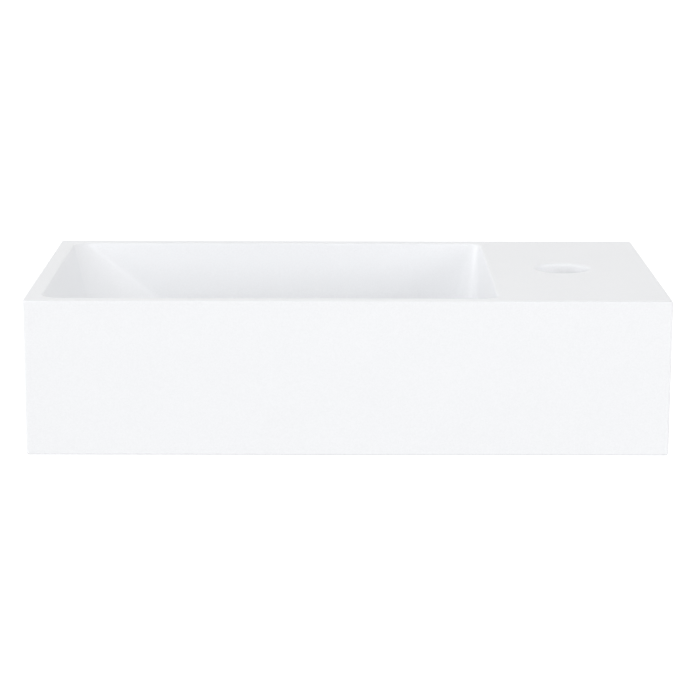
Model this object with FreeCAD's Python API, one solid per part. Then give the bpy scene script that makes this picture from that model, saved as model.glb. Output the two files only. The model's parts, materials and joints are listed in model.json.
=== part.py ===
import FreeCAD, Part
import math
import os

# Wall-hung hand basin of cast solid surface, with its push-open waste and its wall fixings.
# Millimetres. X runs to the right, the front faces -Y and the wall is the plane y = 0.
# The origin lies midway between the two wall bolts, on the wall.

# Basin body
basin_length = 400.0
basin_depth = 220.0
basin_height = 98.0
rim_width = 10.0
tap_deck_width = 107.0
tap_deck_thickness = 12.0
apron_thickness = 10.0
bowl_shell_thickness = 10.0
cavity_corner_radius = 6.0
vertical_edge_radius = 2.0
top_edge_radius = 1.0
foot_edge_chamfer = 1.0
rim_edge_radius = 1.5

# Bowl: how far each wall leans in from the rim to the floor, and how its corners open out
bowl_depth = 63.0
left_wall_lean = 25.0
right_wall_lean = 3.0
long_wall_lean = 4.0
left_rim_radius = 10.0
left_floor_radius = 68.0
right_rim_radius = 9.0
right_floor_radius = 18.0
floor_edge_radius = 14.0
shell_foot_chamfer = 18.0
floor_fall = 2.0

# Tap hole
tap_hole_radius = 17.5
tap_hole_edge_radius = 2.0
tap_hole_from_right_side = 58.0
tap_hole_from_wall = 105.0

# Waste hole, with the recess that takes the flange and the boss under it
waste_hole_radius = 22.5
flange_recess_radius = 34.0
flange_recess_depth = 3.0
floor_dish_radius = 78.0
waste_seat_thickness = 10.0
waste_boss_margin = 4.0

# Wall fixings: hanger bolts with shouldered bushes, washers and nuts
bolt_from_side = 35.0
bolt_height = 38.0
bolt_thread_radius = 3.8
bolt_wood_radius = 4.0
bolt_wood_length = 46.0
bolt_tip_length = 8.0
bolt_tip_radius = 0.8
bolt_end_length = 6.0
bush_hole_radius = 7.0
bush_clearance = 0.15
bolt_clearance = 0.25
bush_shoulder_radius = 11.0
bush_shoulder_thickness = 2.0
washer_radius = 12.0
washer_thickness = 1.6
nut_across_flats = 13.0
nut_thickness = 6.5
thread_clearance = 0.05

# Waste flange: the seat that shows in the bowl, its threaded shank and the spider that holds the cartridge
flange_radius = 32.0
flange_thickness = 3.0
flange_edge_thickness = 1.2
flange_crown_width = 5.0
neck_radius = 21.8
neck_length = 6.0
shank_radius = 19.4
shank_bore_radius = 17.0
shank_length = 27.5
seat_mouth_radius = 20.5
seat_depth = 5.0
spider_height = 7.0
spider_arm_width = 3.5
spider_arm_count = 3
spider_hub_radius = 9.8

# Waste tail: the lower body that draws the flange down and takes the trap
tail_collar_radius = 29.0
tail_collar_thickness = 4.0
tail_body_radius = 24.0
tail_outlet_radius = 20.955
tail_outlet_bore_radius = 17.5
tail_outlet_length = 17.0
tail_step_length = 3.0
tail_flat_across = 44.0
tail_flat_length = 9.0

# Gaskets, and the hard washer that lets the tail turn under the soft one
flange_gasket_thickness = 1.5
flange_gasket_radius = 30.5
collar_gasket_thickness = 4.0
collar_gasket_radius = 28.0
gasket_clearance = 0.3
slip_washer_thickness = 1.5
slip_washer_radius = 28.5

# Push-open cartridge: housing, cap, latch and spring
housing_radius = 7.0
housing_bore_radius = 4.58
housing_floor_thickness = 2.0
housing_shoulder_radius = 9.0
housing_shoulder_thickness = 2.0
housing_drain_radius = 1.5
cartridge_cap_radius = 7.8
cartridge_cap_thickness = 2.6
cartridge_spigot_length = 3.0
cartridge_spigot_clearance = 0.08
rod_clearance = 0.1
seal_groove_depth = 0.9
seal_groove_height = 1.1
stem_seal_clearance = 0.04

# Latch: a bent wire that hangs in a channel of the housing and rides the heart-shaped track
latch_wire_radius = 0.55
latch_length = 12.0
latch_channel_depth = 1.6
latch_channel_width = 5.8
latch_channel_margin = 1.5
latch_wire_gap = 0.1
latch_tip_reach = 0.25
latch_pivot_clearance = 0.08
latch_pivot_inset = 0.2
latch_below_housing_top = 2.4
sleeve_clearance = 0.08
sleeve_thickness = 0.7
sleeve_shortfall = 0.6

# Heart-shaped track in the stem
track_lane_offset = 1.7
track_lane_width = 1.6
track_floor_radius = 2.7
track_end_margin = 0.9
track_corner_radius = 0.7
heart_tip_clearance = 1.1
heart_shoulder_drop = 1.5
heart_horn_height = 7.0
heart_side_height = 6.6
heart_cup_height = 5.95
heart_horn_share = 0.62

# Plug: cap, seal, stem and lock nut, shown raised
plug_travel = 8.0
plug_cap_radius = 25.0
plug_cap_edge = 3.0
plug_cap_crown = 1.8
plug_cap_crown_steps = 3
plug_cap_edge_chamfer = 0.8
plug_pressed_gap = 0.5
plug_boss_radius = 13.0
plug_boss_height = 3.5
plug_lip_radius = 16.6
plug_lip_height = 1.0
seal_height = 2.3
seal_seat_clearance = 0.2
seal_boss_clearance = 0.1
stem_rod_radius = 3.0
stem_guide_radius = 4.5
stem_guide_length = 14.0
stem_stop_gap = 0.1
stem_in_plug = 5.0
stem_tail_radius = 2.2
stem_tail_length = 1.5
lock_nut_across_flats = 10.0
lock_nut_thickness = 3.0
lock_nut_stop_gap = 0.4

# Spring under the stem: the room that its coil sweeps
spring_wire_diameter = 0.9
spring_coil_radius = 3.2
spring_seat_gap = 0.05
spring_pressed_length = 7.4

# Cuts run past the faces that they open by this much, and edges are found by their place to within a match
overrun = 1.0
match = 0.01

# Places worked out from the sizes above
underside = -bolt_height
rim_level = underside + basin_height
bowl_floor_level = rim_level - bowl_depth
floor_pad_level = bowl_floor_level - floor_fall
recess_level = floor_pad_level - flange_recess_depth
boss_level = recess_level - waste_seat_thickness
left_side = -basin_length / 2
right_side = basin_length / 2
bowl_left = left_side + rim_width
bowl_right = right_side - tap_deck_width
bowl_front = -basin_depth + rim_width
bowl_back = -rim_width
waste_x = (bowl_left + left_wall_lean + bowl_right - right_wall_lean) / 2
waste_y = (bowl_front + bowl_back) / 2
tap_x = right_side - tap_hole_from_right_side
tap_y = -tap_hole_from_wall
bolt_places = (left_side + bolt_from_side, right_side - bolt_from_side)

flange_bottom = recess_level + flange_gasket_thickness
flange_top = flange_bottom + flange_thickness
shank_end = flange_bottom - neck_length - shank_length
hub_top = shank_end + spider_height
collar_gasket_foot = boss_level - collar_gasket_thickness
collar_top = collar_gasket_foot - slip_washer_thickness
tail_step_level = shank_end - gasket_clearance
tail_end = tail_step_level - tail_step_length - tail_outlet_length

cap_underside = flange_top + plug_pressed_gap + plug_travel
boss_bottom = cap_underside - plug_boss_height

shoulder_top = hub_top + housing_shoulder_thickness
cartridge_top = boss_bottom - plug_travel - lock_nut_thickness - lock_nut_stop_gap
housing_top = cartridge_top - cartridge_cap_thickness
guide_top = housing_top - cartridge_spigot_length - stem_stop_gap
guide_bottom = guide_top - stem_guide_length
spring_floor = guide_bottom - plug_travel - spring_pressed_length
housing_bottom = spring_floor - housing_floor_thickness
latch_pivot_level = housing_top - latch_below_housing_top
latch_y = -(housing_radius - latch_channel_depth) - latch_wire_gap - latch_wire_radius
latch_angle = math.asin(track_lane_offset / latch_length)
latch_tip_level = latch_pivot_level - latch_length * math.cos(latch_angle)

up = FreeCAD.Vector(0, 0, 1)
back = FreeCAD.Vector(0, 1, 0)
right = FreeCAD.Vector(1, 0, 0)


def save(name, shape):
    shape.exportStep("parts/" + name + ".step")
    print(name, "solids", len(shape.Solids), "volume", round(shape.Volume, 1), "valid", shape.isValid())


def point(x, y, z):
    return FreeCAD.Vector(x, y, z)


def closed_line(points):
    return Part.makePolygon(points + [points[0]])


def revolve_profile(profile):
    """A solid of revolution about the vertical through the origin, from (radius, level) pairs."""
    outline = closed_line([point(radius, 0, level) for radius, level in profile])
    return Part.Face(outline).revolve(point(0, 0, 0), up, 360)


def cylinder(radius, low, high):
    return Part.makeCylinder(radius, high - low, point(0, 0, low), up)


def on_waste(shape):
    """Moves a shape that was made round the vertical through the origin to the waste's place."""
    moved = shape.copy()
    moved.translate(point(waste_x, waste_y, 0))
    return moved


def hexagon(across_flats, low, high):
    corner = across_flats / 2 / math.cos(math.pi / 6)
    turns = [math.pi / 3 * step for step in range(6)]
    outline = closed_line([point(corner * math.cos(turn), corner * math.sin(turn), low) for turn in turns])
    return Part.Face(outline).extrude(up * (high - low))


def hex_nut(across_flats, hole_radius, low, high):
    blank = hexagon(across_flats, low, high)
    return blank.cut(cylinder(hole_radius, low - overrun, high + overrun))


def edges_at(shape, level, left=-basin_length, right_x=basin_length):
    """The level edges of a shape that lie at a height and between two places along X."""
    boxes = [(edge, edge.BoundBox) for edge in shape.Edges]
    return [edge for edge, box in boxes if abs(box.ZMin - level) < match and abs(box.ZMax - level) < match
            and box.XMin > left and box.XMax < right_x]


def bowl_corners(drop, grow):
    """The bowl's four corners at a drop below the rim, grown outwards: place, way inwards and radius."""
    share = drop / bowl_depth
    left = bowl_left + left_wall_lean * share - grow
    right_x = bowl_right - right_wall_lean * share + grow
    front = bowl_front + long_wall_lean * share - grow
    rear = bowl_back - long_wall_lean * share + grow
    left_radius = left_rim_radius + (left_floor_radius - left_rim_radius) * share + grow
    right_radius = right_rim_radius + (right_floor_radius - right_rim_radius) * share + grow
    return [
        (left, front, 1, 1, left_radius), (right_x, front, -1, 1, right_radius),
        (right_x, rear, -1, -1, right_radius), (left, rear, 1, -1, left_radius),
    ]


def bowl_outline(drop):
    """A level wire round the bowl's inside, with an arc at each corner."""
    level = rim_level - drop
    diagonal = 1 - math.sqrt(0.5)
    stops = []
    for index, (x, y, side_x, side_y, radius) in enumerate(bowl_corners(drop, 0)):
        across = point(x + side_x * radius, y, level)
        along = point(x, y + side_y * radius, level)
        middle = point(x + side_x * radius * diagonal, y + side_y * radius * diagonal, level)
        first, last = (along, across) if index % 2 == 0 else (across, along)
        stops.append((first, middle, last))
    edges = []
    for index, (first, middle, last) in enumerate(stops):
        edges.append(Part.Arc(first, middle, last).toShape())
        edges.append(Part.LineSegment(last, stops[(index + 1) % 4][0]).toShape())
    return Part.Wire(edges)


def shell_outline(drop, grow):
    """A level wire round the shell's outside, with a straight cut that touches the arc at each corner."""
    level = rim_level - drop
    cut_share = 2 - math.sqrt(2)
    points = []
    for index, (x, y, side_x, side_y, radius) in enumerate(bowl_corners(drop, grow)):
        across = point(x + side_x * radius * cut_share, y, level)
        along = point(x, y + side_y * radius * cut_share, level)
        points += [along, across] if index % 2 == 0 else [across, along]
    return closed_line(points)


def ruled_solid(sections):
    """A closed solid through matching outlines: flat between their straights, ruled between their arcs."""
    faces = [Part.Face(sections[0]), Part.Face(sections[-1])]
    for upper, lower in zip(sections, sections[1:]):
        for high, low in zip(upper.Edges, lower.Edges):
            if isinstance(high.Curve, Part.Line):
                ends = [high.Vertexes[0].Point, high.Vertexes[-1].Point]
                ends += [low.Vertexes[-1].Point, low.Vertexes[0].Point]
                faces.append(Part.Face(closed_line(ends)))
            else:
                faces.append(Part.makeRuledSurface(high, low))
    shell = Part.Shell(faces)
    shell.sewShape()
    return Part.Solid(shell)


def bowl_hollow():
    """The bowl's inside: leaning walls whose corners open out as they go down, a rounded foot and a
    floor that is dished round the waste."""
    hollow = ruled_solid([bowl_outline(-overrun), bowl_outline(bowl_depth)])
    hollow = hollow.makeFillet(floor_edge_radius, edges_at(hollow, bowl_floor_level))
    dish = revolve_profile([
        (0, floor_pad_level), (flange_recess_radius, floor_pad_level),
        (floor_dish_radius, bowl_floor_level), (0, bowl_floor_level),
    ])
    return hollow.fuse(on_waste(dish))


def bowl_shell():
    """The outside of the bowl's shell, which follows the inside at the shell's thickness."""
    drop = bowl_depth + floor_fall + bowl_shell_thickness
    return ruled_solid([
        shell_outline(-overrun, bowl_shell_thickness),
        shell_outline(drop - shell_foot_chamfer, bowl_shell_thickness),
        shell_outline(drop, bowl_shell_thickness - shell_foot_chamfer),
    ])


def outer_block():
    block = Part.makeBox(basin_length, basin_depth, basin_height, point(left_side, -basin_depth, underside))
    upright = [edge for edge in block.Edges if edge.BoundBox.ZLength > basin_height / 2]
    block = block.makeFillet(vertical_edge_radius, upright)
    block = block.makeFillet(top_edge_radius, edges_at(block, rim_level))
    return block.makeChamfer(foot_edge_chamfer, edges_at(block, underside))


def underside_cavity():
    """The hollow under the tap deck and round the bowl's shell, open downwards."""
    hollow = Part.makeBox(
        basin_length - 2 * apron_thickness, basin_depth - 2 * apron_thickness,
        basin_height - tap_deck_thickness + overrun,
        point(left_side + apron_thickness, -basin_depth + apron_thickness, underside - overrun),
    )
    upright = [edge for edge in hollow.Edges if edge.BoundBox.ZLength > basin_height / 2]
    hollow = hollow.makeFillet(cavity_corner_radius, upright)
    boss = on_waste(cylinder(flange_recess_radius + waste_boss_margin, boss_level, bowl_floor_level))
    return hollow.cut(bowl_shell()).cut(boss)


def basin_body():
    body = outer_block().cut(underside_cavity()).cut(bowl_hollow())
    body = body.cut(on_waste(cylinder(waste_hole_radius, boss_level - overrun, rim_level)))
    body = body.cut(on_waste(cylinder(flange_recess_radius, recess_level, rim_level)))
    for x in bolt_places:
        hole = Part.makeCylinder(
            bush_hole_radius, apron_thickness + 2 * overrun, point(x, -apron_thickness - overrun, 0), back)
        body = body.cut(hole)
    tap_hole = cylinder(tap_hole_radius, rim_level - tap_deck_thickness - overrun, rim_level + overrun)
    tap_hole.translate(point(tap_x, tap_y, 0))
    body = body.cut(tap_hole)
    middle_of_deck = (bowl_right + tap_x - tap_hole_radius) / 2
    rim = edges_at(body, rim_level, left_side + rim_width / 2, middle_of_deck)
    body = body.makeFillet(rim_edge_radius, rim)
    hole_edge = edges_at(body, rim_level, middle_of_deck, tap_x + tap_hole_radius + overrun)
    return body.makeFillet(tap_hole_edge_radius, hole_edge)


def seat_radius(level):
    """The radius of the flange's conical seat at a level."""
    lean = (seat_mouth_radius - shank_bore_radius) / seat_depth
    return max(shank_bore_radius, seat_mouth_radius - (flange_top - level) * lean)


def spider_arm(turn):
    reach = (shank_radius + shank_bore_radius) / 2
    arm = Part.makeBox(spider_arm_width, reach, spider_height, point(-spider_arm_width / 2, 0, shank_end))
    arm.rotate(point(0, 0, 0), up, turn)
    return arm


def waste_flange():
    ring = revolve_profile([
        (shank_bore_radius, shank_end), (shank_radius, shank_end),
        (shank_radius, flange_bottom - neck_length), (neck_radius, flange_bottom - neck_length),
        (neck_radius, flange_bottom), (flange_radius, flange_bottom),
        (flange_radius, flange_bottom + flange_edge_thickness),
        (flange_radius - flange_crown_width, flange_top), (seat_mouth_radius, flange_top),
        (shank_bore_radius, flange_top - seat_depth),
    ])
    spider = cylinder(spider_hub_radius, shank_end, hub_top)
    for step in range(spider_arm_count):
        spider = spider.fuse(spider_arm(360 / spider_arm_count * step))
    whole = ring.fuse(spider).removeSplitter()
    thread_hole = cylinder(housing_radius + thread_clearance, shank_end - overrun, hub_top + overrun)
    return on_waste(whole.cut(thread_hole))


def waste_tail():
    """A collar with a gasket seat, a threaded sleeve round the shank and the outlet that takes the trap."""
    sleeve_bore = shank_radius + thread_clearance
    step_foot = tail_step_level - tail_step_length
    body = revolve_profile([
        (sleeve_bore, collar_top), (tail_collar_radius, collar_top),
        (tail_collar_radius, collar_top - tail_collar_thickness),
        (tail_body_radius, collar_top - tail_collar_thickness),
        (tail_body_radius, step_foot), (tail_outlet_radius, step_foot),
        (tail_outlet_radius, tail_end), (tail_outlet_bore_radius, tail_end),
        (tail_outlet_bore_radius, tail_step_level), (sleeve_bore, tail_step_level),
    ])
    flat_low = step_foot - overrun
    flat_high = step_foot + tail_flat_length
    for side in (-1, 1):
        width = 2 * tail_collar_radius
        start = tail_flat_across / 2 if side > 0 else -tail_flat_across / 2 - tail_collar_radius
        flat = Part.makeBox(
            tail_collar_radius, width, flat_high - flat_low, point(start, -tail_collar_radius, flat_low))
        body = body.cut(flat)
    return on_waste(body)


def flange_gasket():
    return on_waste(revolve_profile([
        (neck_radius + gasket_clearance, recess_level), (flange_gasket_radius, recess_level),
        (flange_gasket_radius, flange_bottom), (neck_radius + gasket_clearance, flange_bottom),
    ]))


def collar_gasket():
    """A flat ring with a tapered lip that centres it in the waste hole."""
    inner = shank_radius + gasket_clearance
    lip = waste_hole_radius - gasket_clearance
    return on_waste(revolve_profile([
        (inner, collar_gasket_foot), (collar_gasket_radius, collar_gasket_foot),
        (collar_gasket_radius, boss_level), (lip, boss_level),
        (inner + gasket_clearance, boss_level + collar_gasket_thickness / 2),
        (inner, boss_level + collar_gasket_thickness / 2),
    ]))


def slip_washer():
    """A hard flat ring between the turning tail and the soft gasket."""
    inner = shank_radius + gasket_clearance
    return on_waste(revolve_profile([
        (inner, collar_top), (slip_washer_radius, collar_top),
        (slip_washer_radius, collar_gasket_foot), (inner, collar_gasket_foot),
    ]))


def latch_openings():
    """The flat channel down the housing's front, the window for the latch's tip and the pivot's hole."""
    low = latch_tip_level - latch_channel_margin
    high = latch_pivot_level + latch_channel_margin
    floor = housing_radius - latch_channel_depth
    channel = Part.makeBox(
        latch_channel_width, latch_channel_depth, high - low,
        point(-latch_channel_width / 2, -housing_radius, low))
    width = 2 * (track_lane_offset + latch_wire_radius + latch_tip_reach)
    height = 2 * (latch_wire_radius + latch_tip_reach)
    window = Part.makeBox(width, floor, height, point(-width / 2, -floor, latch_tip_level - height / 2))
    pivot = Part.makeCylinder(
        latch_wire_radius + latch_pivot_clearance, floor, point(0, -floor, latch_pivot_level), back)
    return channel, window, pivot


def cartridge_housing():
    body = revolve_profile([
        (housing_drain_radius, housing_bottom), (housing_radius, housing_bottom),
        (housing_radius, hub_top), (housing_shoulder_radius, hub_top),
        (housing_shoulder_radius, shoulder_top), (housing_radius, shoulder_top),
        (housing_radius, housing_top), (housing_bore_radius, housing_top),
        (housing_bore_radius, spring_floor), (housing_drain_radius, spring_floor),
    ])
    for opening in latch_openings():
        body = body.cut(opening)
    return on_waste(body)


def latch_sleeve():
    inner = housing_radius + sleeve_clearance
    return on_waste(revolve_profile([
        (inner, shoulder_top), (inner + sleeve_thickness, shoulder_top),
        (inner + sleeve_thickness, housing_top - sleeve_shortfall), (inner, housing_top - sleeve_shortfall),
    ]))


def cartridge_cap():
    """The cap that closes the housing, stops the stem and holds the ring that wipes the rod."""
    hole = stem_rod_radius + rod_clearance
    spigot = housing_bore_radius - cartridge_spigot_clearance
    spigot_end = housing_top - cartridge_spigot_length
    groove_low = housing_top + (cartridge_cap_thickness - seal_groove_height) / 2
    groove_high = groove_low + seal_groove_height
    return on_waste(revolve_profile([
        (hole, spigot_end), (spigot, spigot_end), (spigot, housing_top),
        (cartridge_cap_radius, housing_top), (cartridge_cap_radius, cartridge_top),
        (hole, cartridge_top), (hole, groove_high), (hole + seal_groove_depth, groove_high),
        (hole + seal_groove_depth, groove_low), (hole, groove_low),
    ]))


def stem_seal():
    """A small square-cut ring that fills the cap's groove."""
    inner = stem_rod_radius + stem_seal_clearance
    outer = stem_rod_radius + rod_clearance + seal_groove_depth - stem_seal_clearance
    middle = housing_top + cartridge_cap_thickness / 2
    reach = (outer - inner) / 2
    return on_waste(revolve_profile([
        (inner, middle - reach), (outer, middle - reach), (outer, middle + reach), (inner, middle + reach),
    ]))


def latch_pin():
    """A wire hung from its pivot, bent in square at both ends, leaning into the track's left lane."""
    pivot_end = -housing_bore_radius - latch_pivot_inset
    tip_end = -track_floor_radius - latch_tip_reach
    foot = latch_pivot_level - latch_length
    path = Part.makePolygon([
        point(0, pivot_end, latch_pivot_level), point(0, latch_y, latch_pivot_level),
        point(0, latch_y, foot), point(0, tip_end, foot),
    ])
    section = Part.Wire(Part.makeCircle(latch_wire_radius, point(0, pivot_end, latch_pivot_level), back))
    mitred = 1
    wire = path.makePipeShell([section], True, False, mitred)
    wire.rotate(point(0, 0, latch_pivot_level), back, math.degrees(latch_angle))
    return on_waste(wire)


def heart_track():
    """The pocket that the latch's tip runs in: two lanes round a heart whose cup holds the plug down."""
    half_width = track_lane_offset + track_lane_width / 2
    low = latch_tip_level - track_end_margin
    high = latch_tip_level + plug_travel + track_end_margin
    depth = stem_guide_radius - track_floor_radius + overrun
    face_y = -track_floor_radius - depth
    pocket = Part.makeBox(2 * half_width, depth, high - low, point(-half_width, face_y, low))
    corners = [edge for edge in pocket.Edges if edge.BoundBox.YLength > depth / 2]
    pocket = pocket.makeFillet(track_corner_radius, corners)
    side = track_lane_offset - track_lane_width / 2
    horn = side * heart_horn_share
    outline = [
        (0, heart_tip_clearance), (side, heart_tip_clearance + heart_shoulder_drop),
        (side, heart_side_height), (horn, heart_horn_height), (0, heart_cup_height),
        (-horn, heart_horn_height), (-side, heart_side_height),
        (-side, heart_tip_clearance + heart_shoulder_drop),
    ]
    heart = Part.Face(closed_line([point(x, face_y, latch_tip_level + rise) for x, rise in outline]))
    return pocket.cut(heart.extrude(back * depth))


def plug_stem():
    rod_top = boss_bottom + stem_in_plug
    body = revolve_profile([
        (0, guide_bottom - stem_tail_length), (stem_tail_radius, guide_bottom - stem_tail_length),
        (stem_tail_radius, guide_bottom), (stem_guide_radius, guide_bottom),
        (stem_guide_radius, guide_top), (stem_rod_radius, guide_top),
        (stem_rod_radius, rod_top), (0, rod_top),
    ])
    return on_waste(body.cut(heart_track()))


def crown_stops(radius, level, rise, steps):
    """Stops up a shallow crown, from its edge at a radius and a level to a small flat in its middle."""
    shares = [1 - step / steps for step in range(steps)]
    stops = [(radius * share, level + rise * (1 - share ** 2)) for share in shares]
    return stops + [(0, stops[-1][1])]


def plug_cap():
    """A shallow dome with a boss that takes the stem and a lip that holds the seal."""
    edge_top = cap_underside + plug_cap_edge
    flank = plug_cap_radius - plug_cap_edge_chamfer
    lip_top = boss_bottom + plug_lip_height
    blind = boss_bottom + stem_in_plug + stem_stop_gap
    hole = stem_rod_radius + thread_clearance
    return on_waste(revolve_profile([
        (hole, boss_bottom), (plug_lip_radius, boss_bottom), (plug_lip_radius, lip_top),
        (plug_boss_radius, lip_top), (plug_boss_radius, cap_underside), (plug_cap_radius, cap_underside),
        (plug_cap_radius, edge_top - plug_cap_edge_chamfer),
        *crown_stops(flank, edge_top, plug_cap_crown, plug_cap_crown_steps),
        (0, blind), (hole, blind),
    ]))


def plug_seal():
    """A tapered ring that meets the flange's seat when the plug is pressed home."""
    low = cap_underside - seal_height
    low_outer = seat_radius(low - plug_travel) - seal_seat_clearance
    high_outer = seat_radius(cap_underside - plug_travel) - seal_seat_clearance
    inner = plug_boss_radius + seal_boss_clearance
    return on_waste(revolve_profile([
        (inner, low), (low_outer, low), (high_outer, cap_underside), (inner, cap_underside),
    ]))


def stem_lock_nut():
    return on_waste(hex_nut(
        lock_nut_across_flats, stem_rod_radius + thread_clearance,
        boss_bottom - lock_nut_thickness, boss_bottom))


def plug_spring():
    """The room that the hidden spring's coil sweeps, from the housing's floor to the stem's guide."""
    inner = spring_coil_radius - spring_wire_diameter / 2
    low = spring_floor + spring_seat_gap
    high = guide_bottom - spring_seat_gap
    return on_waste(revolve_profile([
        (inner, low), (inner + spring_wire_diameter, low),
        (inner + spring_wire_diameter, high), (inner, high),
    ]))


def at_both_bolts(shape):
    """Turns a shape made along the vertical so that its top points at the wall, and sets one at each bolt."""
    pair = []
    for x in bolt_places:
        moved = shape.copy()
        moved.rotate(point(0, 0, 0), right, -90)
        moved.translate(point(x, 0, 0))
        pair.append(moved)
    return Part.makeCompound(pair)


def wall_bush():
    """A shouldered bush: its sleeve lines the hole and its shoulder bears on the inner face."""
    inner = bolt_thread_radius + bolt_clearance
    return revolve_profile([
        (inner, 0), (bush_hole_radius - bush_clearance, 0),
        (bush_hole_radius - bush_clearance, -apron_thickness), (bush_shoulder_radius, -apron_thickness),
        (bush_shoulder_radius, -apron_thickness - bush_shoulder_thickness),
        (inner, -apron_thickness - bush_shoulder_thickness),
    ])


def wall_washer():
    face = -apron_thickness - bush_shoulder_thickness
    inner = bolt_thread_radius + bolt_clearance
    return cylinder(washer_radius, face - washer_thickness, face).cut(
        cylinder(inner, face - washer_thickness - overrun, face + overrun))


def wall_nut():
    face = -apron_thickness - bush_shoulder_thickness - washer_thickness
    return hex_nut(nut_across_flats, bolt_thread_radius + thread_clearance, face - nut_thickness, face)


def wall_bolt():
    """A hanger bolt: metric thread inside the basin, wood thread in the wall."""
    end = -apron_thickness - bush_shoulder_thickness - washer_thickness - nut_thickness - bolt_end_length
    return revolve_profile([
        (0, end), (bolt_thread_radius, end), (bolt_thread_radius, 0),
        (bolt_wood_radius, 0), (bolt_wood_radius, bolt_wood_length),
        (bolt_tip_radius, bolt_wood_length + bolt_tip_length), (0, bolt_wood_length + bolt_tip_length),
    ])


def main():
    os.makedirs("parts", exist_ok=True)
    save("basin_body", basin_body())
    save("waste_flange", waste_flange())
    save("waste_tail", waste_tail())
    save("flange_gasket", flange_gasket())
    save("collar_gasket", collar_gasket())
    save("slip_washer", slip_washer())
    save("cartridge_housing", cartridge_housing())
    save("cartridge_cap", cartridge_cap())
    save("latch_sleeve", latch_sleeve())
    save("stem_seal", stem_seal())
    save("latch_pin", latch_pin())
    save("plug_cap", plug_cap())
    save("plug_seal", plug_seal())
    save("plug_stem", plug_stem())
    save("stem_lock_nut", stem_lock_nut())
    save("plug_spring", plug_spring())
    save("wall_bolts", at_both_bolts(wall_bolt()))
    save("wall_bushes", at_both_bolts(wall_bush()))
    save("wall_washers", at_both_bolts(wall_washer()))
    save("wall_nuts", at_both_bolts(wall_nut()))


main()
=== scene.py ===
import json
import math
import bmesh
import bpy
from mathutils import Matrix, Vector


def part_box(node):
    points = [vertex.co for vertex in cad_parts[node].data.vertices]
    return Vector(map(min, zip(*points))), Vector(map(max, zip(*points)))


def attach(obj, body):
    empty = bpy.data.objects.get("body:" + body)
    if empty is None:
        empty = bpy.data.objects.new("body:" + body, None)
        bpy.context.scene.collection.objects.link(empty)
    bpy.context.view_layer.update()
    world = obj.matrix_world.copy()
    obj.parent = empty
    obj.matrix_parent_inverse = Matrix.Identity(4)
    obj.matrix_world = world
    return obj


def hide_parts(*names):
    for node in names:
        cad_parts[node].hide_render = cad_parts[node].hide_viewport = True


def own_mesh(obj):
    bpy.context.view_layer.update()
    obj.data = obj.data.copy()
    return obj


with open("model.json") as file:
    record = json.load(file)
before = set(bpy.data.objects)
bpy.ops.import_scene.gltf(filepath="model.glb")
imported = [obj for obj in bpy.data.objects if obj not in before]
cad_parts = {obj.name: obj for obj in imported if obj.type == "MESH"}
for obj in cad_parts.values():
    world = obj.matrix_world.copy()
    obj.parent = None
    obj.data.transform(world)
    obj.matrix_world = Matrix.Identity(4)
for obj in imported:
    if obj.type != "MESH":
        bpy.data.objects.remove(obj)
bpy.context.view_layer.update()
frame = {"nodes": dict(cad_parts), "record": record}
record = frame["record"]
mm = 0.001  # every size below is in millimetres and is turned to metres where a mesh is made
print("frame loaded")

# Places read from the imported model

slotOf = {part["node"]: part["material_slot"] for part in record["subparts"]}
mounts = {mount["name"]: mount for mount in record["mounts"]}


def nodeBox(node):
    low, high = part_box(node)
    return low / mm, high / mm


bodyLow, bodyHigh = nodeBox("basin_body")
flangeLow, flangeHigh = nodeBox("waste_flange")
wasteX = (flangeLow.x + flangeHigh.x) / 2
wasteY = (flangeLow.y + flangeHigh.y) / 2
tapHole = mounts["tap_hole"]
boltSpacing = mounts["wall_bolts"]["dims"]["spacing_x_mm"]
overrun = 1.0  # how far a cutter runs past the face that it opens
weldGap = 0.0005  # points nearer to each other than this become one
nearby = 0.01  # how close to a level an edge's ends lie to count as on it

# Tools for the bench


def onlySelect(piece):
    bpy.ops.object.select_all(action="DESELECT")
    piece.select_set(True)
    bpy.context.view_layer.objects.active = piece


def applyModifier(piece, kind, **settings):
    onlySelect(piece)
    modifier = piece.modifiers.new("step", kind)
    for name, value in settings.items():
        setattr(modifier, name, value)
    bpy.ops.object.modifier_apply(modifier=modifier.name)


def carve(piece, cutter, operation="DIFFERENCE"):
    applyModifier(piece, "BOOLEAN", object=cutter, operation=operation, solver="EXACT")
    bpy.data.objects.remove(cutter)


def cleanMesh(piece):
    onlySelect(piece)
    bpy.ops.object.mode_set(mode="EDIT")
    bpy.ops.mesh.select_all(action="SELECT")
    bpy.ops.mesh.remove_doubles(threshold=weldGap * mm)
    bpy.ops.mesh.normals_make_consistent(inside=False)
    bpy.ops.object.mode_set(mode="OBJECT")


def selectEdges(piece, wanted):
    # wanted gets the two ends of an edge, in millimetres
    mesh = bmesh.from_edit_mesh(piece.data)
    bpy.ops.mesh.select_all(action="DESELECT")
    for edge in mesh.edges:
        if wanted(edge.verts[0].co / mm, edge.verts[1].co / mm):
            edge.select_set(True)
    bmesh.update_edit_mesh(piece.data)


def addBlock(name, low, high):
    bpy.ops.object.select_all(action="DESELECT")
    bpy.ops.mesh.primitive_cube_add(size=1, location=(Vector(low) + Vector(high)) / 2 * mm)
    block = bpy.context.object
    block.name = name
    block.scale = (Vector(high) - Vector(low)) * mm
    bpy.ops.object.transform_apply(location=True, rotation=True, scale=True)
    return block


def bevelEdges(block, wanted, radius, segments):
    onlySelect(block)
    bpy.ops.object.mode_set(mode="EDIT")
    bpy.ops.mesh.select_mode(type="EDGE")
    selectEdges(block, wanted)
    bpy.ops.mesh.bevel(offset=radius * mm, segments=segments, profile=0.5)
    bpy.ops.object.mode_set(mode="OBJECT")


def roundUprights(block, radius, segments):
    bevelEdges(block, lambda a, b: abs(a.z - b.z) > radius, radius, segments)


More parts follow.
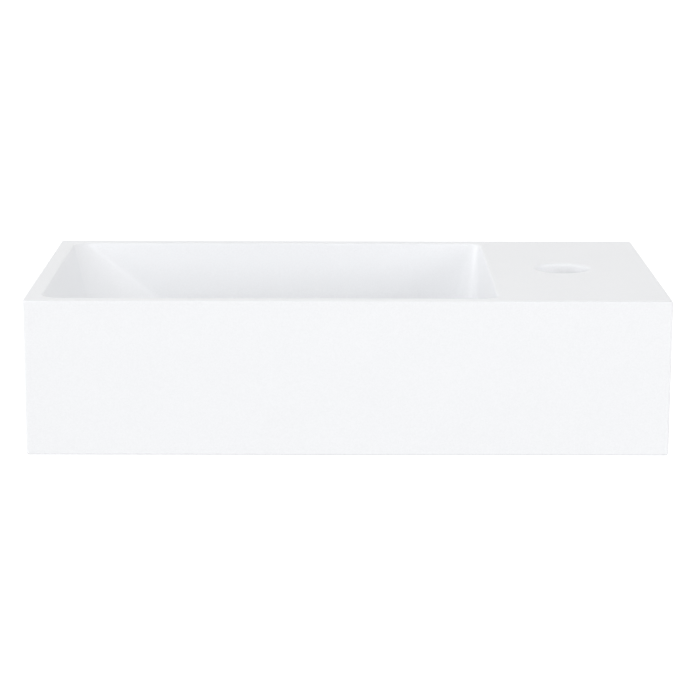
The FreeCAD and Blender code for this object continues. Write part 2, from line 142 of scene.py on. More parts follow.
def roundLevel(block, level, radius, segments):
    def onLevel(a, b):
        return abs(a.z - level) < nearby and abs(b.z - level) < nearby

    bevelEdges(block, onLevel, radius, segments)


def turn(name, profile, steps=96, roundEdges=0.0, closed=True, at=None):
    # a profile of (radius, level) pairs is drawn by extruding one point, then spun about the vertical
    x, y = at or (wasteX, wasteY)
    bpy.ops.object.select_all(action="DESELECT")
    bpy.ops.mesh.primitive_plane_add(size=mm)
    piece = bpy.context.object
    piece.name = name
    bpy.ops.object.mode_set(mode="EDIT")
    bpy.ops.mesh.select_mode(type="VERT")
    bpy.ops.mesh.merge(type="CENTER")
    bpy.ops.transform.translate(value=Vector((profile[0][0], 0, profile[0][1])) * mm)
    stops = list(profile) + ([profile[0]] if closed else [])
    for (radius, level), (nextRadius, nextLevel) in zip(stops, stops[1:]):
        step = Vector((nextRadius - radius, 0, nextLevel - level)) * mm
        bpy.ops.mesh.extrude_region_move(TRANSFORM_OT_translate={"value": step})
    bpy.ops.mesh.select_all(action="SELECT")
    bpy.ops.mesh.spin(steps=steps, angle=2 * math.pi, center=(0, 0, 0), axis=(0, 0, 1))
    bpy.ops.mesh.select_all(action="SELECT")
    bpy.ops.mesh.remove_doubles(threshold=weldGap * mm)
    bpy.ops.mesh.normals_make_consistent(inside=False)
    bpy.ops.object.mode_set(mode="OBJECT")
    if roundEdges:
        limit = math.radians(25)
        applyModifier(
            piece, "BEVEL", width=roundEdges * mm, segments=3, limit_method="ANGLE", angle_limit=limit)
    piece.location = Vector((x, y, 0)) * mm
    bpy.ops.object.transform_apply(location=True, rotation=True, scale=True)
    return piece


def rollUp(name, rings, closed=False):
    # a grid is rolled into a tube through level rings of points; its ends are filled, or meet if closed
    around = len(rings[0])
    bpy.ops.object.select_all(action="DESELECT")
    bpy.ops.mesh.primitive_grid_add(x_subdivisions=around, y_subdivisions=len(rings) - 1)
    piece = bpy.context.object
    piece.name = name
    for number, vertex in enumerate(piece.data.vertices):
        along, place = divmod(number, around + 1)
        vertex.co = Vector(rings[along][place % around]) * mm
    bpy.ops.object.mode_set(mode="EDIT")
    bpy.ops.mesh.select_all(action="SELECT")
    bpy.ops.mesh.remove_doubles(threshold=weldGap * mm)
    if not closed:
        bpy.ops.mesh.fill_holes(sides=0)
    bpy.ops.mesh.select_all(action="SELECT")
    bpy.ops.mesh.normals_make_consistent(inside=False)
    bpy.ops.object.mode_set(mode="OBJECT")
    return piece


def circleRing(radius, level, count, centre=(0, 0)):
    turns = [2 * math.pi * number / count for number in range(count)]
    return [(centre[0] + radius * math.cos(t), centre[1] + radius * math.sin(t), level) for t in turns]


def threadRings(low, high, crest, depth, pitch, count, ringsPerTurn=12, sharpness=1.0, centre=(0, 0)):
    # crest and depth are functions of the level; the ridge winds up by one pitch in each turn,
    # and fades out over two thirds of a pitch at either end
    rings = []
    steps = round((high - low) / pitch * ringsPerTurn)
    for step in range(steps + 1):
        level = low + (high - low) * step / steps
        fade = max(0.0, min(1.0, 1.5 * (level - low) / pitch, 1.5 * (high - level) / pitch))
        ring = []
        for number in range(count):
            turned = 2 * math.pi * number / count
            wave = (level - low) / pitch - number / count
            ridge = (0.5 + 0.5 * math.cos(2 * math.pi * wave)) ** sharpness
            radius = crest(level) - depth(level) * (1 - ridge * fade)
            ring.append((centre[0] + radius * math.cos(turned), centre[1] + radius * math.sin(turned), level))
        rings.append(ring)
    return rings


def finishPiece(piece, body, *nodes, sharp=35):
    slot = slotOf[nodes[0]]
    cleanMesh(piece)
    bpy.ops.object.shade_smooth_by_angle(angle=math.radians(sharp))
    applyModifier(piece, "WEIGHTED_NORMAL", keep_sharp=True)
    piece.data.materials.clear()
    piece.data.materials.append(finishes[slot])
    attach(piece, body)
    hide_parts(*nodes)
    print(piece.name, "faces", len(piece.data.polygons))


# Materials


def linear(code):
    # an sRGB hex colour as linear red, green, blue and alpha
    parts = [int(code[place:place + 2], 16) / 255 for place in (1, 3, 5)]
    return tuple(p / 12.92 if p <= 0.04045 else ((p + 0.055) / 1.055) ** 2.4 for p in parts) + (1.0,)


def perSize(size):
    # a texture scale whose cells are this many millimetres wide
    return 1 / (size * mm)


def addNode(material, kind, settings=None, links=None):
    node = material.node_tree.nodes.new(kind)
    for name, value in (settings or {}).items():
        if isinstance(name, int) or name in node.inputs:
            node.inputs[name].default_value = value
        else:
            setattr(node, name, value)
    for name, source in (links or {}).items():
        material.node_tree.links.new(source, node.inputs[name])
    return node


def startMaterial(name, roughness, metallic=0.0, ior=None):
    material = bpy.data.materials.new(name)
    material.use_nodes = True
    shader = material.node_tree.nodes["Principled BSDF"]
    shader.inputs["Roughness"].default_value = roughness
    shader.inputs["Metallic"].default_value = metallic
    if ior:
        shader.inputs["IOR"].default_value = ior
    place = addNode(material, "ShaderNodeTexCoord").outputs["Object"]
    return material, shader, place


def noise(material, place, size, detail=3.0, stretch=None):
    if stretch:
        place = addNode(material, "ShaderNodeMapping", {"Scale": stretch}, {"Vector": place}).outputs["Vector"]
    settings = {"Scale": perSize(size), "Detail": detail, "Roughness": 0.5}
    return addNode(material, "ShaderNodeTexNoise", settings, {"Vector": place}).outputs["Fac"]


def between(material, source, low, high):
    # the middle of a noise's range is spread over the whole of the wanted one
    settings = {"From Min": 0.3, "From Max": 0.7, "To Min": low, "To Max": high}
    return addNode(material, "ShaderNodeMapRange", settings, {"Value": source}).outputs["Result"]


def colourBetween(material, source, low, high):
    factor = between(material, source, 0.0, 1.0)
    settings = {"data_type": "RGBA", 6: linear(low), 7: linear(high)}
    return addNode(material, "ShaderNodeMix", settings, {0: factor}).outputs[2]


def bump(material, source, height, strength=1.0, under=None):
    links = {"Height": source}
    if under:
        links["Normal"] = under
    settings = {"Distance": height * mm, "Strength": strength}
    return addNode(material, "ShaderNodeBump", settings, links).outputs["Normal"]


def connect(material, shader, **sources):
    for name, source in sources.items():
        material.node_tree.links.new(source, shader.inputs[name.replace("_", " ")])


castSurface = {
    "light": "#f2f3f5", "shade": "#eeeff1", "fillerSize": 0.9, "cloudSize": 45.0,
    "roughness": (0.36, 0.46), "sandingSize": 0.35, "sandingDepth": 0.004, "waveSize": 60.0, "waveDepth": 0.05,
}


def makeCastSolidSurface():
    # mineral-filled resin, cast and sanded: one even white with a silk-matte sheen and no visible grain
    values = castSurface
    material, shader, place = startMaterial("castSolidSurface", 0.42, ior=1.53)
    filler = noise(material, place, values["fillerSize"], detail=4.0)
    cloud = noise(material, place, values["cloudSize"], detail=2.0)
    colour = colourBetween(material, filler, values["shade"], values["light"])
    rough = between(material, cloud, *values["roughness"])
    wave = bump(material, noise(material, place, values["waveSize"], detail=1.0), values["waveDepth"], 0.4)
    sanding = bump(material, noise(material, place, values["sandingSize"]), values["sandingDepth"], 0.6, wave)
    connect(material, shader, Base_Color=colour, Roughness=rough, Normal=sanding)
    return material


chrome = {
    "shade": "#dfe2e5", "light": "#e6e8ea", "cloudSize": 20.0, "roughness": (0.05, 0.14),
    "markSize": 2.0, "markStretch": (1.0, 1.0, 6.0), "rippleSize": 6.0, "rippleDepth": 0.004,
}


def makeChromePlate():
    # bright chrome on polished brass: a cool mirror, with faint wiping marks that only show in highlights
    values = chrome
    material, shader, place = startMaterial("chromePlate", 0.08, metallic=1.0)
    marks = noise(material, place, values["markSize"], detail=5.0, stretch=values["markStretch"])
    cloud = noise(material, place, values["cloudSize"])
    colour = colourBetween(material, cloud, values["shade"], values["light"])
    rough = between(material, marks, *values["roughness"])
    waves = noise(material, place, values["rippleSize"], detail=1.0)
    ripple = bump(material, waves, values["rippleDepth"], 0.5)
    connect(material, shader, Base_Color=colour, Roughness=rough, Normal=ripple)
    return material


rubber = {
    "shade": "#1f2021", "light": "#2c2d2e", "bloomSize": 5.0, "roughness": (0.6, 0.78),
    "grainSize": 0.5, "grainDepth": 0.02,
}


def makeMouldedRubber():
    # moulded EPDM: soft black with a grey bloom, dull, with a fine grain from the tool
    values = rubber
    material, shader, place = startMaterial("mouldedRubber", 0.68, ior=1.52)
    bloom = noise(material, place, values["bloomSize"], detail=4.0)
    colour = colourBetween(material, bloom, values["shade"], values["light"])
    rough = between(material, bloom, *values["roughness"])
    grain = bump(material, noise(material, place, values["grainSize"]), values["grainDepth"], 0.6)
    connect(material, shader, Base_Color=colour, Roughness=rough, Normal=grain)
    return material


nylon = {
    "shade": "#e3e0d6", "light": "#ece9e1", "flowSize": 4.0, "roughness": (0.34, 0.46),
    "skinSize": 0.6, "skinDepth": 0.01,
}


def makeMouldedNylon():
    # natural nylon, injection moulded: milky off-white, satin, a little uneven in tone
    values = nylon
    material, shader, place = startMaterial("mouldedNylon", 0.4, ior=1.53)
    flow = noise(material, place, values["flowSize"], detail=3.0)
    colour = colourBetween(material, flow, values["shade"], values["light"])
    rough = between(material, flow, *values["roughness"])
    skin = bump(material, noise(material, place, values["skinSize"]), values["skinDepth"], 0.5)
    connect(material, shader, Base_Color=colour, Roughness=rough, Normal=skin)
    return material


brass = {
    "shade": "#c19a55", "light": "#d1ad68", "tarnishSize": 6.0, "roughness": (0.2, 0.36),
    "ringSize": 0.33, "ringWander": 0.4, "ringDepth": 0.006,
}


def makeTurnedBrass():
    # bar brass cut on a lathe: warm yellow with fine rings left by the tool, about three to the millimetre
    values = brass
    material, shader, place = startMaterial("turnedBrass", 0.26, metallic=1.0)
    bands = perSize(values["ringSize"]) / 6.28
    wave = {"wave_type": "BANDS", "bands_direction": "Z", "Scale": bands, "Distortion": values["ringWander"]}
    rings = addNode(material, "ShaderNodeTexWave", wave, {"Vector": place}).outputs["Fac"]
    tarnish = noise(material, place, values["tarnishSize"], detail=4.0)
    colour = colourBetween(material, tarnish, values["shade"], values["light"])
    rough = between(material, tarnish, *values["roughness"])
    cut = bump(material, rings, values["ringDepth"], 0.5)
    connect(material, shader, Base_Color=colour, Roughness=rough, Normal=cut)
    return material


stainless = {
    "shade": "#c3c4c4", "light": "#d2d3d3", "streakSize": 0.6, "streakStretch": (1.0, 1.0, 0.15),
    "roughness": (0.18, 0.34), "streakDepth": 0.004,
}


def makeDrawnStainless():
    # drawn stainless wire: grey and bright, with streaks along the draw
    values = stainless
    material, shader, place = startMaterial("drawnStainless", 0.25, metallic=1.0)
    streaks = noise(material, place, values["streakSize"], detail=4.0, stretch=values["streakStretch"])
    colour = colourBetween(material, streaks, values["shade"], values["light"])
    rough = between(material, streaks, *values["roughness"])
    draw = bump(material, streaks, values["streakDepth"], 0.5)
    connect(material, shader, Base_Color=colour, Roughness=rough, Normal=draw)
    return material


zinc = {
    "blue": "#b9c3cc", "straw": "#cbc9bf", "driftSize": 7.0, "spotSize": 0.8, "roughness": (0.26, 0.44),
    "skinDepth": 0.01,
}


def makeZincPlate():
    # blue-passivated zinc on steel: cool grey with a faint blue and straw drift, half dull
    values = zinc
    material, shader, place = startMaterial("bluePassivatedZinc", 0.34, metallic=1.0)
    drift = noise(material, place, values["driftSize"], detail=2.0)
    spots = noise(material, place, values["spotSize"], detail=4.0)
    colour = colourBetween(material, drift, values["blue"], values["straw"])
    rough = between(material, spots, *values["roughness"])
    skin = bump(material, spots, values["skinDepth"], 0.5)
    connect(material, shader, Base_Color=colour, Roughness=rough, Normal=skin)
    return material


finishes = {
    "solid_surface": makeCastSolidSurface(),
    "chrome_plate": makeChromePlate(),
    "black_rubber": makeMouldedRubber(),
    "white_plastic": makeMouldedNylon(),
    "brass": makeTurnedBrass(),
    "stainless_steel": makeDrawnStainless(),
    "zinc_plated_steel": makeZincPlate(),
}
print("materials made")

# The nodes that keep their shape get their finish

for node, piece in frame["nodes"].items():
    piece.data.materials.clear()
    piece.data.materials.append(finishes[slotOf[node]])

# Basin casting

casting = {
    "uprightRound": 2.0, "topRound": 1.0, "footChamfer": 1.0, "apron": 10.0, "deck": 12.0, "cavityRound": 6.0,
    "rim": 10.0, "deckWidth": 107.0, "bowlDepth": 63.0,
    "leftLean": 25.0, "rightLean": 3.0, "longLean": 4.0,
    "leftCorners": ((10.0, 12.0), (68.0, 80.0)), "rightCorners": ((9.0, 9.0), (18.0, 18.0)),
    "footRound": 14.0, "rimRound": 1.5, "shell": 10.0, "shellFoot": 18.0,
    "dishRadius": 78.0, "dishFall": 2.0, "recessRadius": 34.0, "recessDepth": 3.0, "recessRound": 0.6,
    "holeRadius": 22.5, "bossRadius": 38.0, "bossLevel": -18.0,
    "tapRound": 2.0, "bushHole": 7.0,
    "arcSteps": 18, "fanTurn": 3.2, "wallSteps": 8, "footSteps": 10, "edgeSteps": 5, "dishSteps": 10,
    "uprightSteps": 6, "topSteps": 4, "tapSteps": 6, "shellSteps": 4, "shellFootSteps": 6,
}

floorLevel = bodyHigh.z - casting["bowlDepth"]
wasteCentre = Vector((wasteX, wasteY, 0))


def bowlCorners(drop, grow=0.0):
    # each corner's centre, half axes and first direction at a drop below the rim, from the front left round
    share = drop / casting["bowlDepth"]
    left = bodyLow.x + casting["rim"] + casting["leftLean"] * share - grow
    right = bodyHigh.x - casting["deckWidth"] - casting["rightLean"] * share + grow
    front = bodyLow.y + casting["rim"] + casting["longLean"] * share - grow
    rear = bodyHigh.y - casting["rim"] - casting["longLean"] * share + grow
    leftAxes, rightAxes = (
        [a + (b - a) * share + grow for a, b in zip(*casting[name])] for name in ("leftCorners", "rightCorners"))
    return [
        (Vector((left + leftAxes[0], front + leftAxes[1], 0)), leftAxes, 180),
        (Vector((right - rightAxes[0], front + rightAxes[1], 0)), rightAxes, 270),
        (Vector((right - rightAxes[0], rear - rightAxes[1], 0)), rightAxes, 0),
        (Vector((left + leftAxes[0], rear - leftAxes[1], 0)), leftAxes, 90),
    ]


def wayOut(degrees):
    return Vector((math.cos(math.radians(degrees)), math.sin(math.radians(degrees)), 0))


def onCorner(centre, axes, way):
    # the place on an elliptical corner whose outward direction is way
    size = math.hypot(axes[0] * way.x, axes[1] * way.y)
    return centre + Vector((axes[0] ** 2 * way.x, axes[1] ** 2 * way.y, 0)) / size


def fanShares(here, there):
    # places along a side that lie at even turns about the waste, so that the rings round it are even too
    along = (there - here).normalized()
    first = (here - wasteCentre).dot(along)
    last = (there - wasteCentre).dot(along)
    away = (here - wasteCentre - along * first).length
    start, end = math.atan2(first, away), math.atan2(last, away)
    count = round(math.degrees(end - start) / casting["fanTurn"])
    turns = [start + (end - start) * number / count for number in range(1, count)]
    return [(away * math.tan(t) - first) / (last - first) for t in turns]


def sideEnds(corners, number):
    centre, axes, start = corners[number]
    nextCentre, nextAxes, _ = corners[(number + 1) % 4]
    way = wayOut(start + 90)
    return onCorner(centre, axes, way), onCorner(nextCentre, nextAxes, way), way


sideShares = [fanShares(*sideEnds(bowlCorners(casting["bowlDepth"]), number)[:2]) for number in range(4)]


def bowlOutline(drop, grow=0.0):
    # (place, way out) of each point round the bowl
    corners = bowlCorners(drop, grow)
    outline = []
    for number, (centre, axes, start) in enumerate(corners):
        for step in range(casting["arcSteps"] + 1):
            way = wayOut(start + 90 * step / casting["arcSteps"])
            outline.append((onCorner(centre, axes, way), way))
        here, there, way = sideEnds(corners, number)
        outline += [(here.lerp(there, share), way) for share in sideShares[number]]
    return outline


def roundWaste(ring, circles):
    # circles of (radius, level) about the waste whose points lie towards those of the ring
    ways = [(Vector((x, y, 0)) - wasteCentre).normalized() for x, y, z in ring]
    return [[tuple((wasteCentre + way * radius)[:2]) + (level,) for way in ways] for radius, level in circles]


def bowlRings():
    # from above the rim, round its edge, down the leaning wall, round the foot and over the dished floor
    depth = casting["bowlDepth"]
    edge, foot = casting["rimRound"], casting["footRound"]
    walls = []
    for (top, way), (bottom, _) in zip(bowlOutline(0), bowlOutline(depth)):
        lean = (top - bottom).dot(way)
        angle = math.atan2(lean, depth)
        reach = (1 - math.sin(angle)) / math.cos(angle)
        walls.append((top, bottom, way, lean, angle, reach))

    def ring(place):
        points = []
        for top, bottom, way, lean, angle, reach in walls:
            drop, out = place(lean, angle, reach)
            base = top.lerp(bottom, drop / depth) + way * (out + lean * drop / depth)
            points.append((base.x, base.y, bodyHigh.z - drop))
        return points

    rings = [ring(lambda lean, angle, reach: (0, edge * reach))]
    rings.insert(0, [(x, y, z + overrun) for x, y, z in rings[0]])
    for step in range(1, casting["edgeSteps"] + 1):
        share = step / casting["edgeSteps"]

        def onEdge(lean, angle, reach):
            turned = (math.pi / 2 - angle) * share
            return edge * (1 - math.cos(turned)), edge * (reach - math.sin(turned))

        rings.append(ring(onEdge))
    for step in range(1, casting["wallSteps"]):
        share = step / casting["wallSteps"]

        def onWall(lean, angle, reach):
            high = edge * reach * math.cos(angle)
            low = depth - foot * reach * math.cos(angle)
            drop = high + (low - high) * share
            return drop, -lean * drop / depth

        rings.append(ring(onWall))
    for step in range(casting["footSteps"] + 1):
        share = 1 - step / casting["footSteps"]

        def onFoot(lean, angle, reach):
            turned = (math.pi / 2 - angle) * share
            return depth - foot * (1 - math.cos(turned)), -lean - foot * (reach - math.sin(turned))

        rings.append(ring(onFoot))

    lip, fall = casting["recessRound"], casting["dishFall"]
    outer, inner = casting["dishRadius"], casting["recessRadius"] + lip
    circles = []
    for step in range(casting["dishSteps"] + 1):
        share = step / casting["dishSteps"]
        ease = share * share * (3 - 2 * share)
        circles.append((outer + (inner - outer) * share, floorLevel - fall * ease))
    padLevel = floorLevel - fall
    recessLevel = padLevel - casting["recessDepth"]
    # the recess's lip turns over through one middle point at about 45 degrees
    circles += [
        (inner - lip * 0.7, padLevel - lip * 0.3), (inner - lip, padLevel - lip),
        (casting["recessRadius"], recessLevel), (casting["holeRadius"], recessLevel),
        (casting["holeRadius"], casting["bossLevel"] - overrun)]
    return rings + roundWaste(rings[-1], circles)


def shellRings():
    # the outside of the bowl: the inside grown by the shell's thickness, with a rounded foot
    bottom = casting["bowlDepth"] + casting["dishFall"] + casting["shell"]
    foot = casting["shellFoot"]
    steps, footSteps = casting["shellSteps"], casting["shellFootSteps"]
    rings = []
    for step in range(steps + 1):
        drop = -overrun + (bottom - foot + overrun) * step / steps
        rings.append([(p.x, p.y, bodyHigh.z - drop) for p, way in bowlOutline(drop, casting["shell"])])
    for step in range(1, footSteps + 1):
        turned = math.pi / 2 * step / footSteps
        drop = bottom - foot + foot * math.sin(turned)
        inset = foot * (1 - math.cos(turned))
        outline = bowlOutline(drop, casting["shell"])
        rings.append([((p - way * inset).x, (p - way * inset).y, bodyHigh.z - drop) for p, way in outline])
    return rings


def makeCasting():
    values = casting
    piece = addBlock("basinCasting", bodyLow, bodyHigh)
    roundUprights(piece, values["uprightRound"], values["uprightSteps"])
    roundLevel(piece, bodyHigh.z, values["topRound"], values["topSteps"])
    roundLevel(piece, bodyLow.z, values["footChamfer"], 1)
    wall = Vector((values["apron"], values["apron"], 0))
    low = bodyLow + wall - Vector((0, 0, overrun))
    high = bodyHigh - wall - Vector((0, 0, values["deck"]))
    cavity = addBlock("cavity", low, high)
    roundUprights(cavity, values["cavityRound"], values["uprightSteps"])
    carve(cavity, rollUp("shell", shellRings()))
    radius, level = values["bossRadius"], values["bossLevel"]
    boss = turn("boss", [(0, level), (radius, level), (radius, floorLevel), (0, floorLevel)], closed=False)
    carve(cavity, boss)
    carve(piece, cavity)
    carve(piece, rollUp("bowl", bowlRings()))
    carve(piece, tapCutter())
    for side in (-1, 1):
        carve(piece, bushCutter(side * boltSpacing / 2))
    finishPiece(piece, "basin", "basin_body", sharp=32)


def tapCutter():
    radius, top, edge = tapHole["dims"]["r_mm"], bodyHigh.z, casting["tapRound"]
    low = top - casting["deck"] - overrun
    steps = casting["tapSteps"]
    turns = [math.pi / 2 * step / steps for step in range(steps + 1)]
    flare = [(radius + edge * (1 - math.cos(t)), top - edge * (1 - math.sin(t))) for t in turns]
    profile = [(0, low), (radius, low), *flare, (radius + edge, top + overrun), (0, top + overrun)]
    place = (tapHole["pos_m"][0] / mm, tapHole["pos_m"][1] / mm)
    return turn("tapHole", profile, closed=False, at=place)


def layDown(piece, x):
    # a piece made along the vertical is turned so that its top points at the wall, and set at a bolt
    onlySelect(piece)
    piece.rotation_euler = (-math.pi / 2, 0, 0)
    piece.location = (x * mm, 0, 0)
    bpy.ops.object.transform_apply(location=True, rotation=True, scale=True)


def bushCutter(x):
    radius, low = casting["bushHole"], -casting["apron"] - overrun
    profile = [(0, low), (radius, low), (radius, overrun), (0, overrun)]
    cutter = turn("bushHole", profile, steps=48, closed=False, at=(0, 0))
    layDown(cutter, x)
    return cutter


makeCasting()
print("casting made")

# Plug

plug = {
    "crown": 1.6, "crownSteps": 14, "edgeRound": 0.8, "edgeSteps": 4, "edge": 3.0, "underChamfer": 0.3,
    "boss": 13.0, "lip": 16.6, "lipHeight": 1.0, "stemHole": 3.05,
}


def makePlugCap():
    low, high = nodeBox("plug_cap")
    under = nodeBox("plug_seal")[1].z
    stemTop = nodeBox("plug_stem")[1].z
    radius = (high.x - low.x) / 2
    edgeTop = under + plug["edge"]
    edge, steps = plug["edgeRound"], plug["edgeSteps"]
    flank = radius - edge
    crown = [(flank * s / plug["crownSteps"], high.z - plug["crown"] * (s / plug["crownSteps"]) ** 2)
             for s in range(plug["crownSteps"] + 1)]
    turns = [math.pi / 2 * step / steps for step in range(1, steps + 1)]
    side = [(flank + edge * math.sin(t), edgeTop - edge * (1 - math.cos(t))) for t in turns]
    lipTop = low.z + plug["lipHeight"]
    chamfer, hole = plug["underChamfer"], plug["stemHole"]
    profile = crown + side + [
        (radius, under + chamfer), (radius - chamfer, under), (plug["boss"], under), (plug["boss"], lipTop),
        (plug["lip"], lipTop), (plug["lip"], low.z), (hole, low.z), (hole, stemTop), (0, stemTop)]
    piece = turn("plugCap", profile, steps=128, closed=False)
    finishPiece(piece, "plug", "plug_cap", sharp=40)


makePlugCap()
print("plug made")

# Waste

waste = {
    "neck": 21.8, "neckLength": 6.0, "shank": 19.4, "bore": 17.0, "mouth": 20.5, "seatDepth": 5.0,
    "rim": 3.0, "edge": 1.2, "crown": 5.0, "round": 0.4,
    "hub": 9.8, "hubHole": 7.05, "spider": 7.0, "armWidth": 3.5, "armInset": 0.01, "arms": 3,
    "collar": 29.0, "collarHeight": 4.0, "collarChamfer": 0.5, "body": 24.0, "sleevePlay": 0.05,
    "outletBore": 17.5, "step": 3.0, "flats": 44.0, "flatLength": 9.0, "pitch": 2.309, "threadDepth": 1.48,
    "around": 128,
}


def makeWasteFlange():
    low, high = nodeBox("waste_flange")
    radius = (high.x - low.x) / 2
    under = high.z - waste["rim"]
    profile = [
        (waste["bore"], low.z), (waste["shank"], low.z), (waste["shank"], under - waste["neckLength"]),
        (waste["neck"], under - waste["neckLength"]), (waste["neck"], under), (radius, under),
        (radius, under + waste["edge"]), (radius - waste["crown"], high.z), (waste["mouth"], high.z),
        (waste["bore"], high.z - waste["seatDepth"])]
    piece = turn("wasteFlange", profile, steps=waste["around"], roundEdges=waste["round"])
    hubTop = low.z + waste["spider"]
    inner, outer = waste["hubHole"], waste["hub"]
    hub = turn("hub", [(inner, low.z), (outer, low.z), (outer, hubTop), (inner, hubTop)])
    # an arm stops just short of the hub's faces, so that no two faces of the union coincide
    half, inset = waste["armWidth"] / 2, waste["armInset"]
    for number in range(waste["arms"]):
        armLow = (-half, (inner + outer) / 2, low.z + inset)
        arm = addBlock("arm", armLow, (half, (waste["shank"] + waste["bore"]) / 2, hubTop - inset))
        arm.rotation_euler = (0, 0, 2 * math.pi * number / waste["arms"])
        arm.location = wasteCentre * mm
        bpy.ops.object.transform_apply(location=True, rotation=True, scale=True)
        carve(hub, arm, "UNION")
    carve(piece, hub, "UNION")
    finishPiece(piece, "basin", "waste_flange", sharp=32)


def makeWasteTail():
    low, high = nodeBox("waste_tail")
    count = waste["around"]
    centre = (wasteX, wasteY)
    outlet = mounts["waste_outlet"]["dims"]
    stepFoot = low.z + outlet["length_mm"]
    innerFloor = stepFoot + waste["step"]
    sleeve = waste["shank"] + waste["sleevePlay"]
    collar, chamfer = waste["collar"], waste["collarChamfer"]
    collarFoot = high.z - waste["collarHeight"]
    outside = [
        (waste["body"], stepFoot), (waste["body"], collarFoot),
        (collar - chamfer, collarFoot), (collar, collarFoot + chamfer),
        (collar, high.z - chamfer), (collar - chamfer, high.z), (sleeve, high.z), (sleeve, innerFloor),
        (waste["outletBore"], innerFloor), (waste["outletBore"], low.z)]
    rings = threadRings(
        low.z, stepFoot, lambda level: outlet["r_mm"], lambda level: waste["threadDepth"],
        waste["pitch"], count, centre=centre)
    rings += [circleRing(radius, level, count, centre) for radius, level in outside]
    rings.append(rings[0])
    piece = rollUp("wasteTail", rings, closed=True)
    for side in (-1, 1):
        near, far = side * waste["flats"] / 2, side * collar
        flatLow = (wasteX + min(near, far), wasteY - collar, stepFoot - overrun)
        flatHigh = (wasteX + max(near, far), wasteY + collar, stepFoot + waste["flatLength"])
        carve(piece, addBlock("flat", flatLow, flatHigh))
    finishPiece(piece, "basin", "waste_tail", sharp=32)


makeWasteFlange()
makeWasteTail()
print("waste made")

# Gasket and slip washer under the basin

gasket = {"bore": 19.7, "taperFoot": 22.2, "taperTop": 20.0, "round": 0.4, "washerRound": 0.25}


def makeSlipWasher():
    low, high = nodeBox("slip_washer")
    inner, outer = gasket["bore"], (high.x - low.x) / 2
    profile = [(inner, low.z), (outer, low.z), (outer, high.z), (inner, high.z)]
    finishPiece(turn("slipWasher", profile, roundEdges=gasket["washerRound"]), "basin", "slip_washer")


def makeCollarGasket():
    low, high = nodeBox("collar_gasket")
    inner, outer = gasket["bore"], (high.x - low.x) / 2
    face = casting["bossLevel"]
    profile = [
        (inner, low.z), (outer, low.z), (outer, face),
        (gasket["taperFoot"], face), (gasket["taperTop"], high.z), (inner, high.z)]
    finishPiece(turn("collarGasket", profile, roundEdges=gasket["round"]), "basin", "collar_gasket")


makeSlipWasher()
makeCollarGasket()
print("gasket and washer made")

# Spring

spring = {
    "wire": 0.9, "coil": 3.2, "turns": 9, "closedTurns": 1.0, "closedPitch": 1.02,
    "sections": 14, "stepsPerTurn": 36,
}


def makeSpring():
    low, high = nodeBox("plug_spring")
    wire, coil = spring["wire"] / 2, spring["coil"]
    total = spring["turns"] + 2 * spring["closedTurns"]
    start, end = low.z + wire, high.z - wire
    closedRise = spring["wire"] * spring["closedPitch"]
    openRise = (end - start - 2 * spring["closedTurns"] * closedRise) / spring["turns"]
    section = [2 * math.pi * number / spring["sections"] for number in range(spring["sections"])]
    rings = []
    level = start
    steps = round(total * spring["stepsPerTurn"])
    for step in range(steps + 1):
        wound = step / spring["stepsPerTurn"]
        isClosed = wound < spring["closedTurns"] or wound > total - spring["closedTurns"]
        turned = 2 * math.pi * wound
        out = Vector((math.cos(turned), math.sin(turned), 0))
        middle = wasteCentre + out * coil + Vector((0, 0, level))
        rings.append([
            tuple(middle + out * (wire * math.cos(a)) + Vector((0, 0, wire * math.sin(a)))) for a in section])
        level += (closedRise if isClosed else openRise) / spring["stepsPerTurn"]
    piece = rollUp("plugSpring", rings)
    finishPiece(piece, "basin", "plug_spring", sharp=60)
    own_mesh(piece)


makeSpring()
print("spring made")

# Wall fixings

fixing = {
    "machineCrest": 3.8, "machineDepth": 0.6, "machinePitch": 1.25, "machineEnd": 2.6, "machineChamfer": 0.4,
    "machineStop": -1.0, "shank": 3.7, "shankLength": 6.0,
    "woodCrest": 4.0, "woodDepth": 1.1, "woodShare": 0.4, "woodPitch": 3.0, "woodLength": 46.0,
    "woodRunIn": 0.5, "tip": 0.8, "point": 0.3, "pointLength": 0.2,
    "nutAcross": 13.0, "nutHole": 3.85, "nutChamfer": 0.6, "nutFace": 0.97,
    "washer": 12.0, "washerHole": 4.05, "washerRound": 0.3,
    "bushInner": 4.05, "bushOuter": 6.85, "shoulder": 11.0, "shoulderRound": 0.4,
}


def makeBolt(side):
    low, high = nodeBox("wall_bolts")
    count = 48
    start = low.y
    crest, tipStart = fixing["woodCrest"], fixing["woodLength"]

    def woodCrest(level):
        if level < tipStart:
            return crest
        return crest + (fixing["tip"] - crest) * (level - tipStart) / (high.y - tipStart)

    def woodDepth(level):
        return min(fixing["woodDepth"], woodCrest(level) * fixing["woodShare"])

    rings = [circleRing(fixing["machineEnd"], start, count)]
    rings += threadRings(
        start + fixing["machineChamfer"], fixing["machineStop"], lambda level: fixing["machineCrest"],
        lambda level: fixing["machineDepth"], fixing["machinePitch"], count, ringsPerTurn=10)
    rings += [circleRing(fixing["shank"], 0, count), circleRing(fixing["shank"], fixing["shankLength"], count)]
    rings += threadRings(
        fixing["shankLength"] + fixing["woodRunIn"], high.y - fixing["pointLength"], woodCrest, woodDepth,
        fixing["woodPitch"], count, ringsPerTurn=16, sharpness=3.0)
    rings.append(circleRing(fixing["point"], high.y, count))
    piece = rollUp("boltLeft" if side < 0 else "boltRight", rings)
    layDown(piece, side * boltSpacing / 2)
    return piece


